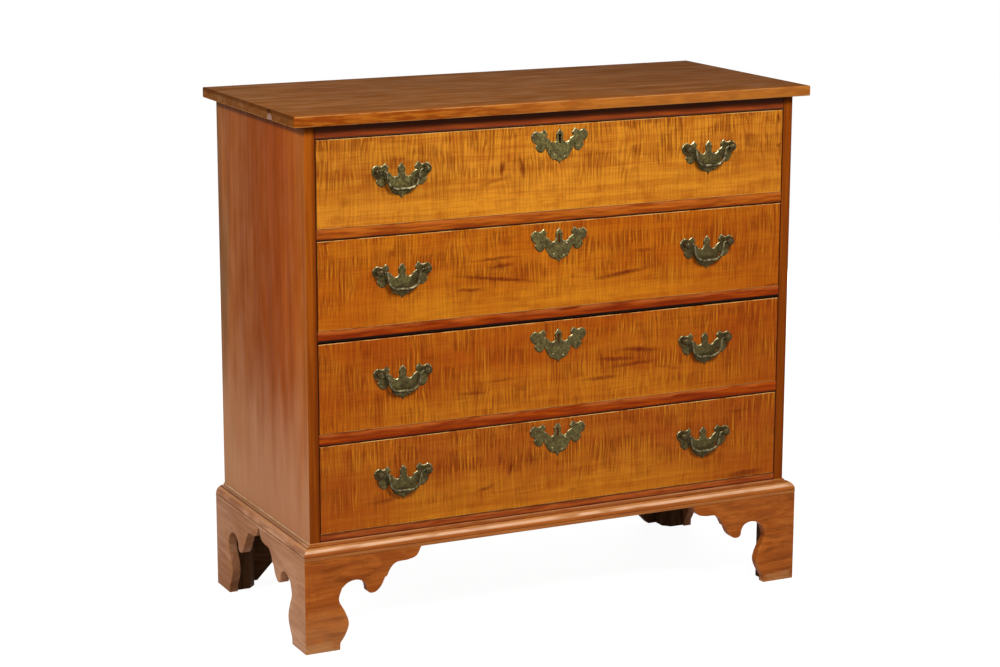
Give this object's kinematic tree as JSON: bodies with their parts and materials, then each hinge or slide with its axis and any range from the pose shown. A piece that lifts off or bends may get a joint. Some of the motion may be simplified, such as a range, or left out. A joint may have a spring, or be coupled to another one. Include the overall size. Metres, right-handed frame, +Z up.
{
  "type": "chest of drawers",
  "caption": "Low chest of drawers with a flat overhanging top, figured wood fronts, batwing brass bail pulls and scrolled bracket feet.",
  "frame": {"origin": "on the floor, under the middle of the whole chest's length and depth", "axes": "+X along the front to the right, +Y from the front to the back, +Z up"},
  "size_m": [1, 0.444, 0.93],
  "materials": {
    "top_wood": "satin shellac, worn arrises",
    "case_wood": "satin shellac",
    "rail_wood": "satin shellac, red-brown",
    "base_wood": "satin shellac",
    "figured_wood": "glossy shellac over curled figure",
    "drawer_lining_wood": "bare",
    "back_and_bottom_wood": "bare",
    "aged_brass": "dull green-brown patina",
    "dark_iron": "dark, forged"
  },
  "bodies": {
    "case": {"top_board": "top_wood", "left_side": "case_wood", "right_side": "case_wood", "bottom_board": "back_and_bottom_wood", "back_board_lower": "back_and_bottom_wood", "back_board_upper": "back_and_bottom_wood", "top_frame": "rail_wood", "bottom_frame": "rail_wood", "drawer_frame_1": "rail_wood", "drawer_frame_2": "rail_wood", "drawer_frame_3": "rail_wood", "front_moulding": "base_wood", "left_moulding": "base_wood", "right_moulding": "base_wood", "front_left_foot": "base_wood", "front_right_foot": "base_wood", "rear_left_foot": "base_wood", "rear_right_foot": "base_wood"},
    "drawer_1": {"drawer_1_front": "figured_wood", "drawer_1_left_side": "drawer_lining_wood", "drawer_1_right_side": "drawer_lining_wood", "drawer_1_back": "drawer_lining_wood", "drawer_1_bottom": "drawer_lining_wood", "drawer_1_escutcheon": "aged_brass", "drawer_1_left_pull_plate": "aged_brass", "drawer_1_right_pull_plate": "aged_brass", "drawer_1_lock_case": "dark_iron"},
    "drawer_1_left_bail": {"drawer_1_left_bail": "aged_brass"},
    "drawer_1_right_bail": {"drawer_1_right_bail": "aged_brass"},
    "drawer_2": {"drawer_2_front": "figured_wood", "drawer_2_left_side": "drawer_lining_wood", "drawer_2_right_side": "drawer_lining_wood", "drawer_2_back": "drawer_lining_wood", "drawer_2_bottom": "drawer_lining_wood", "drawer_2_escutcheon": "aged_brass", "drawer_2_left_pull_plate": "aged_brass", "drawer_2_right_pull_plate": "aged_brass"},
    "drawer_2_left_bail": {"drawer_2_left_bail": "aged_brass"},
    "drawer_2_right_bail": {"drawer_2_right_bail": "aged_brass"},
    "drawer_3": {"drawer_3_front": "figured_wood", "drawer_3_left_side": "drawer_lining_wood", "drawer_3_right_side": "drawer_lining_wood", "drawer_3_back": "drawer_lining_wood", "drawer_3_bottom": "drawer_lining_wood", "drawer_3_escutcheon": "aged_brass", "drawer_3_left_pull_plate": "aged_brass", "drawer_3_right_pull_plate": "aged_brass"},
    "drawer_3_left_bail": {"drawer_3_left_bail": "aged_brass"},
    "drawer_3_right_bail": {"drawer_3_right_bail": "aged_brass"},
    "drawer_4": {"drawer_4_front": "figured_wood", "drawer_4_left_side": "drawer_lining_wood", "drawer_4_right_side": "drawer_lining_wood", "drawer_4_back": "drawer_lining_wood", "drawer_4_bottom": "drawer_lining_wood", "drawer_4_escutcheon": "aged_brass", "drawer_4_left_pull_plate": "aged_brass", "drawer_4_right_pull_plate": "aged_brass"},
    "drawer_4_left_bail": {"drawer_4_left_bail": "aged_brass"},
    "drawer_4_right_bail": {"drawer_4_right_bail": "aged_brass"},
    "lock_bolt": {"drawer_1_lock_bolt": "dark_iron"}
  },
  "joints": [
    {"name": "drawer_1_slide", "type": "slide", "parent": "case", "child": "drawer_1", "axis": [0, -1, 0], "range_m": [0, 0.32]},
    {"name": "drawer_1_left_bail_swing", "type": "hinge", "parent": "drawer_1", "child": "drawer_1_left_bail", "pos_m": [-0.3, -0.212, 0.8281], "axis": [-1, 0, 0], "range_deg": [-6, 165]},
    {"name": "drawer_1_right_bail_swing", "type": "hinge", "parent": "drawer_1", "child": "drawer_1_right_bail", "pos_m": [0.3, -0.212, 0.8281], "axis": [-1, 0, 0], "range_deg": [-6, 165]},
    {"name": "drawer_2_slide", "type": "slide", "parent": "case", "child": "drawer_2", "axis": [0, -1, 0], "range_m": [0, 0.32]},
    {"name": "drawer_2_left_bail_swing", "type": "hinge", "parent": "drawer_2", "child": "drawer_2_left_bail", "pos_m": [-0.3, -0.212, 0.6557], "axis": [-1, 0, 0], "range_deg": [-6, 165]},
    {"name": "drawer_2_right_bail_swing", "type": "hinge", "parent": "drawer_2", "child": "drawer_2_right_bail", "pos_m": [0.3, -0.212, 0.6557], "axis": [-1, 0, 0], "range_deg": [-6, 165]},
    {"name": "drawer_3_slide", "type": "slide", "parent": "case", "child": "drawer_3", "axis": [0, -1, 0], "range_m": [0, 0.32]},
    {"name": "drawer_3_left_bail_swing", "type": "hinge", "parent": "drawer_3", "child": "drawer_3_left_bail", "pos_m": [-0.3, -0.212, 0.4778], "axis": [-1, 0, 0], "range_deg": [-6, 165]},
    {"name": "drawer_3_right_bail_swing", "type": "hinge", "parent": "drawer_3", "child": "drawer_3_right_bail", "pos_m": [0.3, -0.212, 0.4778], "axis": [-1, 0, 0], "range_deg": [-6, 165]},
    {"name": "drawer_4_slide", "type": "slide", "parent": "case", "child": "drawer_4", "axis": [0, -1, 0], "range_m": [0, 0.32]},
    {"name": "drawer_4_left_bail_swing", "type": "hinge", "parent": "drawer_4", "child": "drawer_4_left_bail", "pos_m": [-0.3, -0.212, 0.3004], "axis": [-1, 0, 0], "range_deg": [-6, 165]},
    {"name": "drawer_4_right_bail_swing", "type": "hinge", "parent": "drawer_4", "child": "drawer_4_right_bail", "pos_m": [0.3, -0.212, 0.3004], "axis": [-1, 0, 0], "range_deg": [-6, 165]},
    {"name": "lock_bolt_rise", "type": "slide", "parent": "drawer_1", "child": "lock_bolt", "axis": [0, 0, 1], "range_m": [0, 0.008]}
  ]
}
